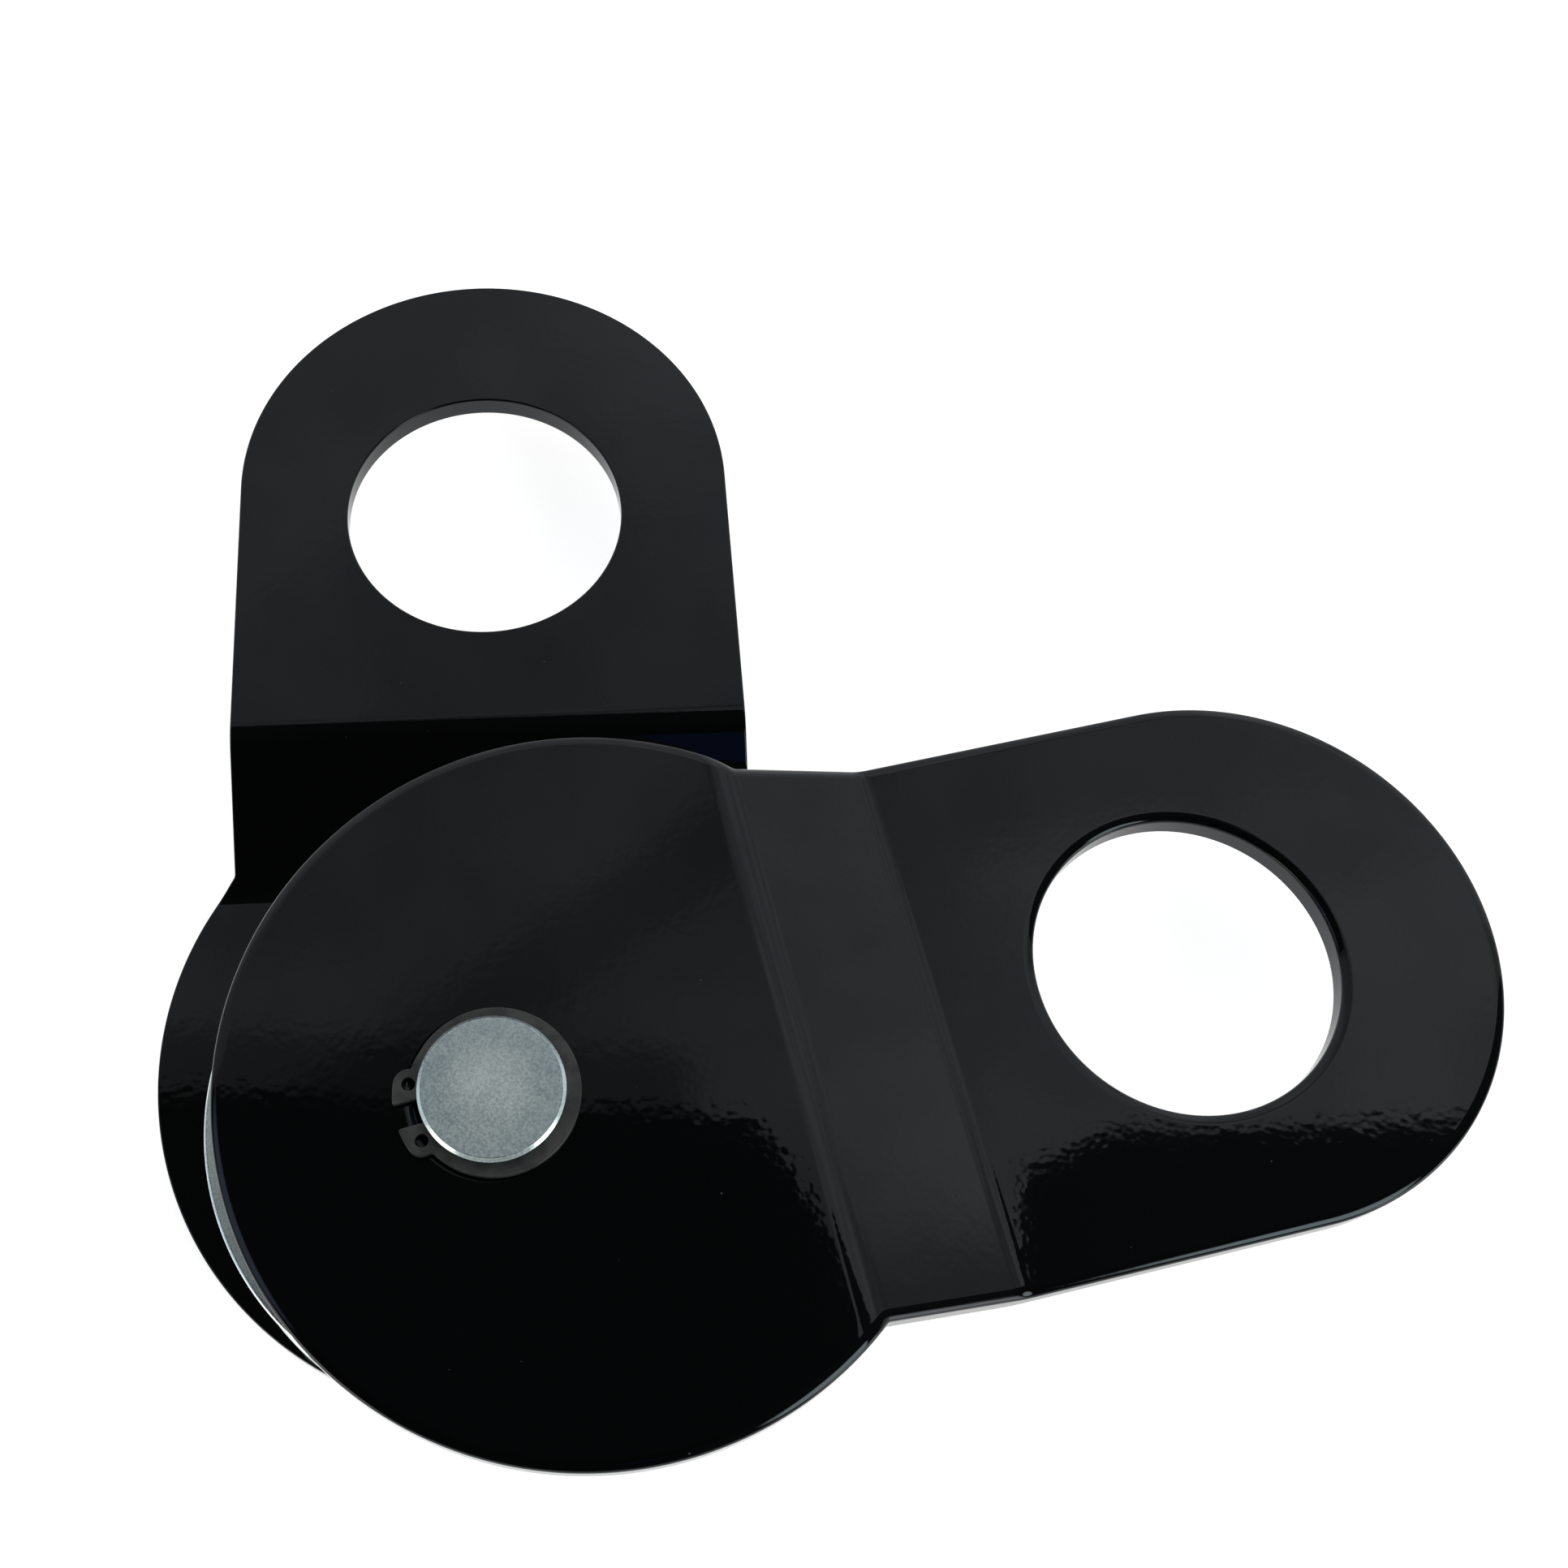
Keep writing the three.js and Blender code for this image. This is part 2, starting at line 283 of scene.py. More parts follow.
def edge_profile(corner, roll_width=0.0, roll_angle=0.0):
    """Steps from a face over its edge to the wall, as (inset, drop, turn of the normal).

    A pressed edge first rolls over gently across roll_width, and then turns its tight corner.
    """
    made = []
    sink = 0.0
    if roll_width:
        radius = (roll_width - corner * (1 - math.sin(roll_angle))) / math.sin(roll_angle)
        for i in range(5):
            turn = roll_angle * i / 5
            made.append((roll_width - radius * math.sin(turn), radius * (1 - math.cos(turn)), turn))
        sink = radius * (1 - math.cos(roll_angle))
    for i in range(6):
        turn = roll_angle + (QUARTER - roll_angle) * i / 5
        drop = sink + corner * (math.cos(roll_angle) - math.cos(turn))
        made.append((corner * (1 - math.sin(turn)), drop, turn))
    return made


def in_polygon(point, polygon):
    """Whether a point lies inside a closed polygon."""
    inside = False
    for a, b in zip(polygon, polygon[1:] + polygon[:1]):
        if (a.y > point.y) != (b.y > point.y):
            if point.x < a.x + (point.y - a.y) / (b.y - a.y) * (b.x - a.x):
                inside = not inside
    return inside


def sheet_data(edges, surfaces, fields, profiles):
    """Vertices, faces and normals of a piece cut from sheet.

    edges are the outer edge, anticlockwise, and then its holes, clockwise, as (point, normal) pairs.
    surfaces[1] and surfaces[-1] give the height and slope of the upper and lower face at a y,
    fields[1] and fields[-1] are the inner points of those faces, and profiles[1] and profiles[-1]
    are the steps over their edges.
    """
    verts, normals, faces = [], [], []
    rims = {1: [], -1: []}
    for edge in edges:
        # Loops of one edge: from the upper face over its rounding, down the wall, and to the lower face.
        loops = []
        for side in (1, -1):
            for inset, drop, turn in profiles[side][::side]:
                loop = []
                for (x, y), (nx, ny) in edge:
                    px, py = x - nx * inset, y - ny * inset
                    height, rise = surfaces[side](py)
                    face_normal = Vector((0, -rise, 1)).normalized() * side
                    normal = Vector((nx, ny, 0)) * math.sin(turn) + face_normal * math.cos(turn)
                    loop.append(len(verts))
                    verts.append(Vector((px, py, height - side * drop)))
                    normals.append(normal.normalized())
                loops.append(loop)
        rims[1].append(loops[0])
        rims[-1].append(loops[-1])
        for above, below in zip(loops, loops[1:]):
            for i in range(len(above)):
                j = (i + 1) % len(above)
                faces.append((above[i], below[i], below[j], above[j]))
    for side, surface in surfaces.items():
        base = []
        rim_of = []
        links = []
        for number, rim in enumerate(rims[side]):
            start = len(base)
            links += [(start + i, start + (i + 1) % len(rim)) for i in range(len(rim))]
            base += rim
            rim_of += [number] * len(rim)
        flat = [verts[i].xy for i in base] + [Vector(p) for p in fields[side]]
        outline = flat[:len(rims[side][0])]
        points, _, triangles, origin, _, _ = delaunay_2d_cdt(flat, links, [], 0, 1e-8)
        index, owner = [], []
        for point, sources in zip(points, origin):
            if sources and sources[0] < len(base):
                index.append(base[sources[0]])
                owner.append(rim_of[sources[0]])
                continue
            height, rise = surface(point.y)
            index.append(len(verts))
            owner.append(None)
            verts.append(Vector((point.x, point.y, height)))
            normals.append(Vector((0, -rise, 1)).normalized() * side)
        for triangle in triangles:
            rim_set = {owner[i] for i in triangle}
            if len(rim_set) == 1 and None not in rim_set:
                # A triangle on one rim alone lies in a hole, or inside or outside the outer edge.
                centre = sum((points[i] for i in triangle), Vector((0, 0))) / 3
                if rim_set != {0} or not in_polygon(centre, outline):
                    continue
            corners = [index[i] for i in triangle]
            faces.append(tuple(corners) if side == 1 else tuple(reversed(corners)))
    return verts, faces, normals


def side_plate_data():
    """One joggled plate with its disc's mid plane at z = 0 and its eye standing higher."""
    joggles = {side: Joggle(side) for side in (1, -1)}
    rows = {side: joggles[side].rows(6) for side in joggles}
    edges = [
        plate_outline(sorted(rows[1] + rows[-1])),
        round_hole((0, 0), HOLE_RADIUS, 96),
        round_hole((0, EYE_CENTRE), EYE_RADIUS, 144),
    ]
    surfaces = {side: joggles[side].at for side in joggles}
    fields = {side: plate_field(rows[side], 5 * MM) for side in joggles}
    profiles = {1: edge_profile(CUT_EDGE), -1: edge_profile(ROLL_EDGE, ROLL_WIDTH, ROLL_ANGLE)}
    return sheet_data(edges, surfaces, fields, profiles)


def placed(name, data, height=0.0, angle=0.0, flip=False):
    """An object from mesh data, turned over if asked, turned about Z and raised."""
    verts, faces, normals = data
    over = Matrix.Diagonal((1, 1, -1)) if flip else Matrix.Identity(3)
    turn = Matrix.Rotation(angle, 3, "Z") @ over
    verts = [turn @ v + Vector((0, 0, height)) for v in verts]
    normals = [turn @ n for n in normals]
    if flip:
        faces = [tuple(reversed(f)) for f in faces]
    return finish_mesh(name, verts, faces, normals)


# ---------- turned pieces ----------

def rounded(corners, closed=True):
    """An anticlockwise outline with each corner rounded, as (point, outward normal) pairs.

    A corner is (x, y, radius). A corner of no radius stays one point with the mean normal.
    """
    made = []
    count = len(corners)
    for i, (x, y, radius) in enumerate(corners):
        here = Vector((x, y))
        before = Vector(corners[i - 1][:2]) if closed or i > 0 else None
        after = Vector(corners[(i + 1) % count][:2]) if closed or i < count - 1 else None
        arrive = (here - before).normalized() if before else None
        leave = (after - here).normalized() if after else None
        arrive = arrive or leave
        leave = leave or arrive
        first = Vector((arrive.y, -arrive.x))
        last = Vector((leave.y, -leave.x))
        turn = math.atan2(arrive.cross(leave), arrive.dot(leave))
        if not radius or abs(turn) < 1e-6:
            made.append((here, (first + last).normalized()))
            continue
        sign = 1 if turn > 0 else -1
        start = here - arrive * radius * math.tan(abs(turn) / 2)
        centre = start - first * radius * sign
        steps = max(3, math.ceil(abs(turn) / math.radians(9)))
        for k in range(steps + 1):
            way = Matrix.Rotation(turn * k / steps, 2) @ first
            made.append((centre + way * radius * sign, way))
    return made


def turned(name, corners, sides, height, on_axis=False):
    """A piece turned about the pin from an outline of (radius, z, rounding), raised to a height."""
    outline = rounded(corners, closed=not on_axis)
    verts, normals, faces = [], [], []
    rings = []
    for (radius, z), (nr, nz) in outline:
        if radius < 1e-7:
            rings.append([len(verts)])
            verts.append((0, 0, z + height))
            normals.append((0, 0, 1 if nz > 0 else -1))
            continue
        ring = []
        for i in range(sides):
            angle = 2 * math.pi * i / sides
            ring.append(len(verts))
            verts.append((radius * math.cos(angle), radius * math.sin(angle), z + height))
            normals.append((nr * math.cos(angle), nr * math.sin(angle), nz))
        rings.append(ring)
    pairs = list(zip(rings, rings[1:]))
    if not on_axis:
        pairs.append((rings[-1], rings[0]))
    for low, high in pairs:
        for i in range(sides):
            j = (i + 1) % sides
            if len(low) == 1:
                faces.append((low[0], high[j], high[i]))
            elif len(high) == 1:
                faces.append((low[i], low[j], high[0]))
            else:
                faces.append((low[i], low[j], high[j], high[i]))
    return finish_mesh(name, verts, faces, normals)


def mirrored(upper, between=()):
    """The lower half of a section, its corners between the halves, and its upper half."""
    lower = [(r, -z, rounding) for r, z, rounding in reversed(upper)]
    return lower + list(between) + upper


def axle_pin():
    """The pin with its grooves and chamfers."""
    end = PIN_LENGTH / 2
    groove_start = CLIP_MIDDLE - GROOVE_HALF_WIDTH
    groove_end = CLIP_MIDDLE + GROOVE_HALF_WIDTH
    upper = [
        (PIN_RADIUS, groove_start, PIN_SOFT),
        (GROOVE_RADIUS, groove_start, PIN_SOFT),
        (GROOVE_RADIUS, groove_end, PIN_SOFT),
        (PIN_RADIUS, groove_end, PIN_SOFT),
        (PIN_RADIUS, end - PIN_CHAMFER, PIN_SOFT),
        (PIN_RADIUS - PIN_CHAMFER, end, PIN_SOFT),
        (9 * MM, end, 0),
        (5 * MM, end, 0),
        (0, end, 0),
    ]
    return turned("axle_pin_turned", mirrored(upper), 192, MIDDLE, on_axis=True)


def sheave_wheel():
    """The sheave's hub, web, rims and rope groove, with every corner rounded."""
    centre = SHEAVE_RADIUS - ROPE_GROOVE_DEPTH + ROPE_GROOVE_RADIUS
    foot_radius = centre - ROPE_GROOVE_RADIUS * math.sin(FLANK_LEAN)
    foot_height = ROPE_GROOVE_RADIUS * math.cos(FLANK_LEAN)
    flank_top = foot_height + (SHEAVE_RADIUS - foot_radius) * math.tan(FLANK_LEAN)
    flanks_meet = foot_radius - foot_height / math.tan(FLANK_LEAN)
    half = HUB_WIDTH / 2
    upper = [
        (SHEAVE_RADIUS, flank_top, 0.7 * MM),
        (SHEAVE_RADIUS, RIM_HALF_WIDTH, 0.5 * MM),
        (RIM_INNER_RADIUS, RIM_HALF_WIDTH, 0.8 * MM),
        (WEB_OUTER_RADIUS, WEB_HALF_WIDTH, 1.5 * MM),
        (WEB_INNER_RADIUS, WEB_HALF_WIDTH, 1.5 * MM),
        (HUB_RADIUS, half, 0.8 * MM),
        (BUSHING_RADIUS, half, 0.3 * MM),
    ]
    corners = mirrored(upper, between=[(flanks_meet, 0, ROPE_GROOVE_RADIUS)])
    return turned("sheave_wheel", corners, 256, MIDDLE)


def plain_ring(name, inner, outer, width, height, soft, sides):
    """A bushing or washer with rounded corners."""
    half = width / 2
    corners = [(inner, -half, soft), (outer, -half, soft), (outer, half, soft), (inner, half, soft)]
    return turned(name, corners, sides, height)


# ---------- circlips ----------

def round_lug(lug):
    """Points on a lug's tip, from its outer side until it meets the ring."""
    made = []
    angle = LUG_ANGLE
    while True:
        angle += math.radians(9)
        point = lug + Vector((math.cos(angle), math.sin(angle))) * LUG_RADIUS
        if math.hypot(point.x - CLIP_OUTER_SHIFT, point.y) < CLIP_OUTER_RADIUS + 0.15 * MM:
            return made, point
        made.append((point.x, point.y, 0))


def circlip_data():
    """A flat external circlip about the Z axis, with its gap towards +X."""
    reach = LUG_CENTRE + LUG_RADIUS
    lug = Vector((math.cos(LUG_ANGLE), math.sin(LUG_ANGLE))) * LUG_CENTRE
    bore_start = math.asin(CLIP_HALF_GAP / CLIP_BORE_RADIUS)
    reach_start = math.asin(CLIP_HALF_GAP / reach)
    corners = [
        (CLIP_BORE_RADIUS * math.cos(bore_start), CLIP_HALF_GAP, 0.25 * MM),
        (reach * math.cos(reach_start), CLIP_HALF_GAP, 0.4 * MM),
    ]
    for i in range(1, 6):
        angle = reach_start + (LUG_ANGLE - reach_start) * i / 5
        corners.append((reach * math.cos(angle), reach * math.sin(angle), 0))
    tip, meeting = round_lug(lug)
    corners += tip
    start = math.atan2(meeting.y, meeting.x - CLIP_OUTER_SHIFT) + math.radians(1.5)
    sweep = 44
    for i in range(sweep + 1):
        angle = start + (math.pi - start) * i / sweep
        x = CLIP_OUTER_SHIFT + CLIP_OUTER_RADIUS * math.cos(angle)
        corners.append((x, CLIP_OUTER_RADIUS * math.sin(angle), 0))
    lower = [(x, -y, radius) for x, y, radius in reversed(corners[:-1])]
    inner = []
    for i in range(1, 96):
        angle = -bore_start - (2 * math.pi - 2 * bore_start) * i / 96
        inner.append((CLIP_BORE_RADIUS * math.cos(angle), CLIP_BORE_RADIUS * math.sin(angle), 0))
    edges = [
        rounded(corners + lower + inner),
        round_hole(lug, LUG_HOLE_RADIUS, 32),
        round_hole((lug.x, -lug.y), LUG_HOLE_RADIUS, 32),
    ]
    half = CLIP_THICKNESS / 2
    surfaces = {1: lambda y: (half, 0.0), -1: lambda y: (-half, 0.0)}
    soft = edge_profile(CLIP_SOFT)
    return sheet_data(edges, surfaces, {1: [], -1: []}, {1: soft, -1: soft})


# ---------- pieces ----------

plate = side_plate_data()
clip = circlip_data()
gap_angles = {"upper": math.radians(193), "lower": math.radians(-52)}
bushing_bore = PIN_RADIUS + 0.15 * MM

pieces = {
    "lower_side_plate": placed("lower_plate_painted", plate, MIDDLE - PLATE_MIDDLE),
    "upper_side_plate": placed(
        "upper_plate_painted", plate, MIDDLE + PLATE_MIDDLE, OPEN_ANGLE, flip=True
    ),
    "lower_circlip": placed("lower_retaining_ring", clip, MIDDLE - CLIP_MIDDLE, gap_angles["lower"]),
    "upper_circlip": placed("upper_retaining_ring", clip, MIDDLE + CLIP_MIDDLE, gap_angles["upper"]),
    "axle_pin": axle_pin(),
    "sheave": sheave_wheel(),
    "sheave_bushing": plain_ring(
        "bushing_sleeve", bushing_bore, BUSHING_RADIUS, HUB_WIDTH, MIDDLE, 0.35 * MM, 128
    ),
}
for word, side in (("lower", -1), ("upper", 1)):
    pieces[word + "_thrust_washer"] = plain_ring(
        word + "_washer_ring", HOLE_RADIUS, WASHER_RADIUS, WASHER_THICKNESS,
        MIDDLE + side * WASHER_MIDDLE, 0.2 * MM, 144,
    )

# ---------- node helpers ----------

def new_material(name, colour, roughness, metallic=0.0):
    """A material whose shader's own sockets hold the values that are the same all over."""
    material = bpy.data.materials.new(name)
    material.use_nodes = True
    shader = material.node_tree.nodes["Principled BSDF"]
    shader.inputs["Base Color"].default_value = (*colour, 1)
    shader.inputs["Roughness"].default_value = roughness
    shader.inputs["Metallic"].default_value = metallic
    return material, shader


class Nodes:
    """Short ways to add the nodes that the materials share."""

    def __init__(self, tree):
        self.tree = tree
        self.place = self.add("ShaderNodeTexCoord").outputs["Object"]

    def add(self, kind, **settings):
        node = self.tree.nodes.new(kind)
        for key, value in settings.items():
            setattr(node, key, value)
        return node

    def link(self, source, target):
        """Sets a socket to a number or joins it to another node's output."""
        if isinstance(source, (int, float)):
            target.default_value = source
        else:
            self.tree.links.new(source, target)

    def math(self, operation, a, b=0.0, clamp=False):
        node = self.add("ShaderNodeMath", operation=operation, use_clamp=clamp)
        self.link(a, node.inputs[0])
        self.link(b, node.inputs[1])
        return node.outputs[0]

    def ramp(self, value, low, high, start=0.0, end=1.0, smooth=True):
        """start below low and end above high, with a smooth or straight way between."""
        node = self.add("ShaderNodeMapRange", interpolation_type="SMOOTHSTEP" if smooth else "LINEAR")
        self.link(value, node.inputs["Value"])
        node.inputs["From Min"].default_value = low
        node.inputs["From Max"].default_value = high
        node.inputs["To Min"].default_value = start
        node.inputs["To Max"].default_value = end
        return node.outputs["Result"]

    def noise(self, size, detail=2.0, rough=0.5, stretch=(1, 1, 1), seed=0.0):
        """Noise between about 0 and 1 whose blobs are size metres across."""
        mapping = self.add("ShaderNodeMapping")
        mapping.inputs["Location"].default_value = (seed, seed * 0.7, seed * 1.3)
        mapping.inputs["Scale"].default_value = tuple(1 / (size * s) for s in stretch)
        self.link(self.place, mapping.inputs["Vector"])
        node = self.add("ShaderNodeTexNoise")
        node.inputs["Scale"].default_value = 1.0
        node.inputs["Detail"].default_value = detail
        node.inputs["Roughness"].default_value = rough
        self.link(mapping.outputs["Vector"], node.inputs["Vector"])
        return node.outputs["Fac"]

    def specks(self, spacing, radius, share, seed=0.0):
        """1 inside scattered round specks and 0 elsewhere. share is how many cells hold one."""
        mapping = self.add("ShaderNodeMapping")
        mapping.inputs["Location"].default_value = (seed, seed * 1.7, seed * 0.6)
        mapping.inputs["Scale"].default_value = (1 / spacing,) * 3
        self.link(self.place, mapping.inputs["Vector"])
        cells = self.add("ShaderNodeTexVoronoi")
        cells.inputs["Scale"].default_value = 1.0
        self.link(mapping.outputs["Vector"], cells.inputs["Vector"])
        inside = self.ramp(cells.outputs["Distance"], radius / spacing, 0.5 * radius / spacing)
        parts = self.add("ShaderNodeSeparateColor")
        self.link(cells.outputs["Color"], parts.inputs[0])
        chosen = self.math("LESS_THAN", parts.outputs[0], share)
        return self.math("MULTIPLY", inside, chosen)

    def mix(self, factor, first, second):
        """A colour between two others."""
        node = self.add("ShaderNodeMix", data_type="RGBA")
        self.link(factor, node.inputs["Factor"])
        for colour, socket in ((first, node.inputs["A"]), (second, node.inputs["B"])):
            if isinstance(colour, tuple):
                node.inputs[6 if socket.name == "A" else 7].default_value = (*colour, 1)
            else:
                self.tree.links.new(colour, node.inputs[6 if socket.name == "A" else 7])
        return node.outputs[2]

    def bump(self, height, depth, before=None):
        """A normal for a height between 0 and 1 that stands depth metres high."""
        node = self.add("ShaderNodeBump")
        node.inputs["Strength"].default_value = 1.0
        node.inputs["Distance"].default_value = depth
        self.link(height, node.inputs["Height"])
        if before:
            self.link(before, node.inputs["Normal"])
        return node.outputs["Normal"]


# ---------- materials ----------

def black_paint():
    """Sprayed gloss black with orange peel, a little dust and slightly duller patches."""
    material, shader = new_material("gloss_black_paint", PAINT_BLACK, 0.05)
    shader.inputs["Specular IOR Level"].default_value = 0.3
    shader.inputs["Specular Tint"].default_value = (0.93, 1.0, 1.08, 1)
    nodes = Nodes(material.node_tree)
    dust = nodes.specks(9 * MM, 0.22 * MM, 0.28)
    grit = nodes.specks(4 * MM, 0.1 * MM, 0.2, seed=3.1)
    marks = nodes.math("MAXIMUM", dust, grit)
    nodes.link(nodes.mix(marks, PAINT_BLACK, (0.05, 0.05, 0.05)), shader.inputs["Base Color"])
    dull = nodes.ramp(nodes.noise(24 * MM, 4.0, 0.6, seed=5.0), 0.45, 0.75, 0.022, 0.04)
    matt_marks = nodes.math("MULTIPLY", marks, 0.6)
    nodes.link(nodes.math("MAXIMUM", dull, matt_marks), shader.inputs["Roughness"])
    waves = nodes.bump(nodes.noise(22 * MM, 0.0, seed=1.0), 0.03 * MM)
    peel = nodes.bump(nodes.noise(2.2 * MM, 1.0, 0.6, seed=2.0), 0.008 * MM, waves)
    fine = nodes.bump(nodes.noise(0.9 * MM, 0.0, seed=4.0), 0.0008 * MM, peel)
    nodes.link(nodes.bump(marks, 0.02 * MM, fine), shader.inputs["Normal"])
    return material


def zinc_plate():
    """Zinc plating on turned steel: pale and finely speckled, with a painted highlight that makes the
    middle of its end brightest.
    """
    material, shader = new_material("zinc_plated_steel", (0.66, 0.7, 0.71), 0.34, 1.0)
    nodes = Nodes(material.node_tree)
    speckle = nodes.noise(0.45 * MM, 2.0, 0.7, seed=7.0)
    cloud = nodes.noise(6 * MM, 2.0, 0.5, seed=8.0)
    parts = nodes.add("ShaderNodeSeparateXYZ")
    nodes.link(nodes.place, parts.inputs[0])
    x, y, _ = parts.outputs
    squares = nodes.math("ADD", nodes.math("MULTIPLY", x, x), nodes.math("MULTIPLY", y, y))
    radius = nodes.math("SQRT", squares)
    shade = nodes.ramp(speckle, 0.3, 0.7, 0.0, 0.45)
    shade = nodes.math("ADD", shade, nodes.ramp(cloud, 0.3, 0.7, 0.0, 0.2))
    # Painted highlight: the base colour gets lighter towards the middle of the pin's end, standing in for
    # the brighter reflection there.
    shade = nodes.math("ADD", shade, nodes.ramp(radius, 11 * MM, 0.5 * MM, 0.0, 0.5))
    # Painted light: beyond 14 mm from the axis, on the sheave, the base colour is lighter than on the
    # pin, brightening the sheave where it lies in the plates' shade.
    shade = nodes.math("ADD", shade, nodes.ramp(radius, 14 * MM, 16 * MM, 0.0, 0.5), clamp=True)
    nodes.link(nodes.mix(shade, (0.33, 0.42, 0.46), (0.72, 0.8, 0.79)), shader.inputs["Base Color"])
    # The pin's chamfer and the sheave's rim are cut finer than the rest.
    past_face = nodes.ramp(radius, 11.75 * MM, 11.95 * MM)
    chamfer = nodes.math("MULTIPLY", past_face, nodes.ramp(radius, 14 * MM, 13 * MM))
    polish = nodes.math("MAXIMUM", chamfer, nodes.ramp(radius, 49 * MM, 49.4 * MM))
    rough = nodes.ramp(speckle, 0.3, 0.7, 0.38, 0.5)
    rough = nodes.math("SUBTRACT", rough, nodes.math("MULTIPLY", polish, 0.24))
    nodes.link(rough, shader.inputs["Roughness"])
    rings = nodes.add("ShaderNodeTexWave", wave_type="RINGS", rings_direction="Z")
    rings.inputs["Scale"].default_value = 1 / (1.1 * MM)
    rings.inputs["Distortion"].default_value = 1.2
    rings.inputs["Detail"].default_value = 2.0
    rings.inputs["Detail Scale"].default_value = 1.5
    nodes.link(nodes.place, rings.inputs["Vector"])
    turned_lines = nodes.bump(rings.outputs["Fac"], 0.001 * MM)
    nodes.link(nodes.bump(speckle, 0.006 * MM, turned_lines), shader.inputs["Normal"])
    return material


def spring_steel():
    """Phosphated spring steel: dark warm grey and nearly matt."""
    material, shader = new_material("phosphated_spring_steel", (0.07, 0.072, 0.071), 0.45, 0.6)
    nodes = Nodes(material.node_tree)
    grain = nodes.noise(0.35 * MM, 3.0, 0.6, seed=11.0)
    patch = nodes.noise(4 * MM, 3.0, 0.6, seed=12.0)
    shade = nodes.ramp(patch, 0.35, 0.65)
    nodes.link(nodes.mix(shade, (0.05, 0.053, 0.053), (0.085, 0.088, 0.087)), shader.inputs["Base Color"])
    nodes.link(nodes.ramp(grain, 0.3, 0.7, 0.4, 0.58), shader.inputs["Roughness"])
    nodes.link(nodes.bump(grain, 0.006 * MM), shader.inputs["Normal"])
    return material


def bronze():
    """Bearing bronze with a slight tarnish."""
    material, shader = new_material("bearing_bronze", (0.55, 0.33, 0.14), 0.35, 1.0)
    nodes = Nodes(material.node_tree)
    tarnish = nodes.ramp(nodes.noise(3 * MM, 4.0, 0.6, seed=15.0), 0.4, 0.7)
    nodes.link(nodes.mix(tarnish, (0.6, 0.37, 0.17), (0.33, 0.19, 0.09)), shader.inputs["Base Color"])
    nodes.link(nodes.ramp(tarnish, 0.0, 1.0, 0.28, 0.5), shader.inputs["Roughness"])
    grain = nodes.noise(0.8 * MM, 2.0, seed=16.0)
    nodes.link(nodes.bump(grain, 0.005 * MM), shader.inputs["Normal"])
    return material


def washer_steel():
    """Plain steel washer, ground and lightly oiled."""
    material, shader = new_material("ground_washer_steel", (0.42, 0.43, 0.44), 0.32, 1.0)
    nodes = Nodes(material.node_tree)
    cloud = nodes.ramp(nodes.noise(5 * MM, 3.0, 0.6, seed=19.0), 0.35, 0.7)
    nodes.link(nodes.mix(cloud, (0.46, 0.47, 0.48), (0.3, 0.3, 0.3)), shader.inputs["Base Color"])
    nodes.link(nodes.ramp(cloud, 0.0, 1.0, 0.25, 0.42), shader.inputs["Roughness"])
    scratches = nodes.noise(0.5 * MM, 2.0, stretch=(12, 1, 1), seed=20.0)
    nodes.link(nodes.bump(scratches, 0.004 * MM), shader.inputs["Normal"])
    return material


def floor_sheet():
    """Bright matt white paper, lit so that it is white in the picture."""
    material, shader = new_material("white_backdrop", (0.86, 0.86, 0.86), 0.9)
    shader.inputs["Emission Color"].default_value = (1, 1, 1, 1)
    shader.inputs["Emission Strength"].default_value = FLOOR_GLOW
    nodes = Nodes(material.node_tree)
    nodes.link(nodes.bump(nodes.noise(1.2 * MM, 3.0, 0.6), 0.03 * MM), shader.inputs["Normal"])
    return material


# ---------- bodies and finishes ----------

materials = {
    "black_paint": black_paint(),
    "zinc_plate": zinc_plate(),
    "spring_steel": spring_steel(),
    "bronze": bronze(),
    "washer_steel": washer_steel(),
}
finishes = {
    "lower_side_plate": "black_paint",
    "upper_side_plate": "black_paint",
    "axle_pin": "zinc_plate",
    "lower_circlip": "spring_steel",
    "upper_circlip": "spring_steel",
    "sheave": "zinc_plate",
    "sheave_bushing": "bronze",
    "lower_thrust_washer": "washer_steel",
    "upper_thrust_washer": "washer_steel",
}
bodies = frame["record"]["behaviour"]["bodies"]
body_of = {node: body for body, members in bodies.items() for node in members}

for node, piece in pieces.items():
    piece.data.materials.append(materials[finishes[node]])
    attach(piece, body_of[node])
    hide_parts(node)

# ---------- floor, light and camera ----------


def make_floor():
    """A wide plane under the block's lowest point."""
    corners = [(-1, -1), (1, -1), (1, 1), (-1, 1)]
    verts = [(x * FLOOR_HALF, y * FLOOR_HALF, cad_box[0].z) for x, y in corners]
    floor = finish_mesh("studio_floor", verts, [(0, 1, 2, 3)])
    floor.data.materials.append(floor_sheet())


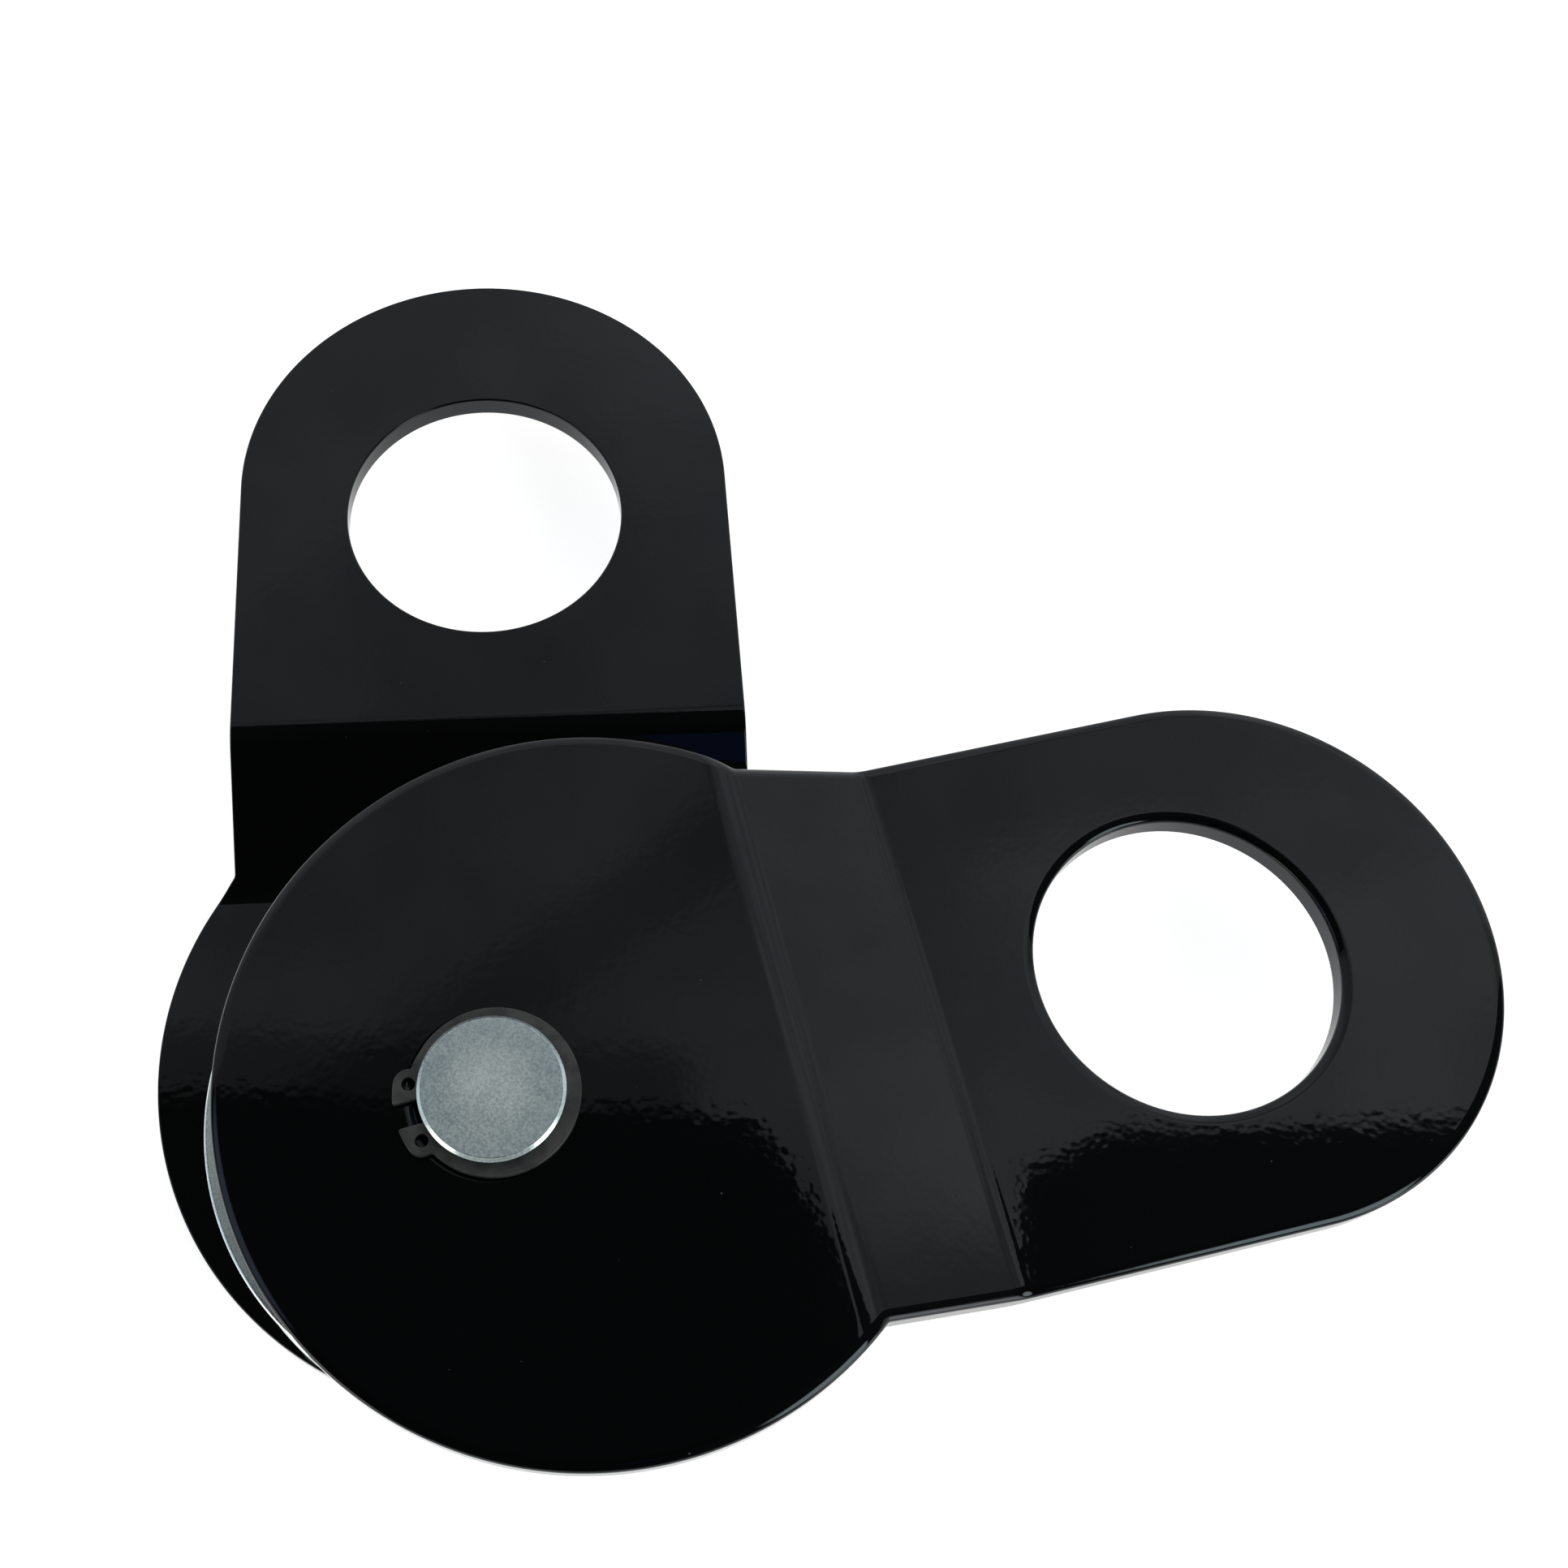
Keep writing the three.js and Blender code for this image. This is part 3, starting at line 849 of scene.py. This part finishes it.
def make_world():
    """A studio round the block: a bright ceiling ahead, a dark one behind the camera and pale walls."""
    world = bpy.data.worlds.new("studio")
    world.use_nodes = True
    bpy.context.scene.world = world
    nodes = Nodes(world.node_tree)
    way = nodes.add("ShaderNodeTexCoord").outputs["Generated"]
    parts = nodes.add("ShaderNodeSeparateXYZ")
    nodes.link(way, parts.inputs[0])
    x, y, z = parts.outputs
    nodes.place = way
    # The bright ceiling starts at a sharp edge, which dips where the reflections of the bend begin.
    dip = nodes.math("MULTIPLY", nodes.ramp(x, 0.09, 0.17, 0.0, 0.1), nodes.ramp(x, 0.23, 0.213))
    step = nodes.math("MULTIPLY", nodes.ramp(x, 0.28, 0.22, 0.0, 0.02), nodes.ramp(x, 0.17, 0.22))
    dip = nodes.math("ADD", dip, step)
    left_edge = nodes.ramp(x, -0.15, 0.1, 0.275, 0.256, smooth=False)
    right_fall = nodes.ramp(x, 0.05, 0.45, 0.0, 0.045, smooth=False)
    edge = nodes.math("SUBTRACT", nodes.math("SUBTRACT", left_edge, right_fall), dip)
    past = nodes.math("SUBTRACT", y, edge)
    panel = nodes.ramp(past, -0.004, 0.004)
    right = nodes.ramp(x, 0.05, 0.32, 0.0, 0.42)
    right = nodes.math("SUBTRACT", right, nodes.ramp(x, 0.5, 0.8, 0.0, 0.15))
    ahead = nodes.math("MULTIPLY", nodes.ramp(y, 0.44, 0.66, 0.0, 0.36), nodes.ramp(x, 0.6, 0.3))
    glow = nodes.math("ADD", nodes.math("ADD", right, ahead), 0.49)
    # Soft darker clouds in it: along its edge on the left, a slanting streak, low on the right and
    # over the upper arm.
    by_edge = nodes.math("MULTIPLY", nodes.ramp(past, 0.036, 0.02), nodes.ramp(x, 0.08, 0.05))
    slant = nodes.math("SUBTRACT", y, nodes.math("ADD", nodes.math("MULTIPLY", x, 0.6), 0.335))
    streak = nodes.ramp(nodes.math("ABSOLUTE", slant), 0.034, 0.01)
    low_right = nodes.math("MULTIPLY", nodes.ramp(y, 0.33, 0.29), nodes.ramp(x, 0.6, 0.7))
    shade = nodes.math("MULTIPLY", by_edge, 0.45)
    shade = nodes.math("ADD", shade, nodes.math("MULTIPLY", streak, 0.32))
    shade = nodes.math("ADD", shade, nodes.math("MULTIPLY", low_right, 0.4))
    over_arm = nodes.math("MULTIPLY", nodes.ramp(y, 0.35, 0.39), nodes.ramp(x, 0.17, 0.22))
    over_arm = nodes.math("MULTIPLY", over_arm, nodes.ramp(x, 0.4, 0.3))
    shade = nodes.math("ADD", shade, nodes.math("MULTIPLY", over_arm, 0.32), clamp=True)
    clouds = nodes.ramp(nodes.noise(0.12, 3.0, 0.55, seed=23.0), 0.3, 0.7, 0.8, 1.15)
    glow = nodes.math("MULTIPLY", glow, nodes.math("SUBTRACT", 1.0, shade))
    glow = nodes.math("MULTIPLY", nodes.math("MULTIPLY", glow, panel), clouds)
    dim = nodes.math("ADD", nodes.ramp(y, -0.3, 0.1, 0.03, 0.05), nodes.ramp(x, 0.1, 0.3, 0.0, 0.03))
    light = nodes.math("MAXIMUM", nodes.math("ADD", glow, dim), nodes.ramp(z, 0.34, 0.14, 0.0, 0.95))
    cool = nodes.math("MULTIPLY", light, nodes.ramp(y, 0.28, 0.4, 0.96, 1.02))
    levels = [light, nodes.math("MULTIPLY", light, 1.01), cool]
    # Each lamp as its direction, the cosines at its outer and inner edge, and its brightness.
    lamps = [
        ((-0.82, -0.54, 0.2), 0.95, 0.985, (3.2, 2.7, 2.2)),
        ((0.82, -0.54, 0.2), 0.95, 0.985, (3.0, 3.0, 3.0)),
        ((0.57, -0.48, 0.67), 0.972, 0.988, (4.4, 5.0, 4.8)),
        ((-0.75, 0.0, 0.66), 0.95, 0.985, (0.7, 0.85, 1.1)),
        ((0.08, -0.485, 0.87), 0.9975, 0.9998, (0.025, 0.06, 0.2)),
    ]
    for lamp_way, outside, inside, colour in lamps:
        dot = nodes.add("ShaderNodeVectorMath", operation="DOT_PRODUCT")
        nodes.link(way, dot.inputs[0])
        dot.inputs[1].default_value = Vector(lamp_way).normalized()
        spot = nodes.ramp(dot.outputs["Value"], outside, inside)
        added = [nodes.math("MULTIPLY", spot, part) for part in colour]
        levels = [nodes.math("ADD", level, more) for level, more in zip(levels, added)]
    joined = nodes.add("ShaderNodeCombineColor")
    for level, socket in zip(levels, joined.inputs):
        nodes.link(level, socket)
    background = world.node_tree.nodes["Background"]
    background.inputs["Strength"].default_value = 1.0
    nodes.link(joined.outputs[0], background.inputs["Color"])


def make_camera():
    """The camera, where it stands, turned to what it points at and rolled."""
    camera = bpy.data.cameras.new("photo_camera")
    camera.lens = CAMERA_LENS
    camera.sensor_width = 36
    camera.shift_x, camera.shift_y = CAMERA_SHIFT
    camera.clip_start = 0.01
    camera.clip_end = 100
    obj = bpy.data.objects.new("photo_camera", camera)
    bpy.context.scene.collection.objects.link(obj)
    turn = (CAMERA_AIM - CAMERA_PLACE).to_track_quat("-Z", "Y").to_matrix().to_4x4()
    roll = Matrix.Rotation(CAMERA_ROLL, 4, "Z")
    obj.matrix_world = Matrix.Translation(CAMERA_PLACE) @ turn @ roll
    bpy.context.scene.camera = obj


make_floor()
make_world()
make_camera()
bpy.context.scene.view_settings.view_transform = "Standard"
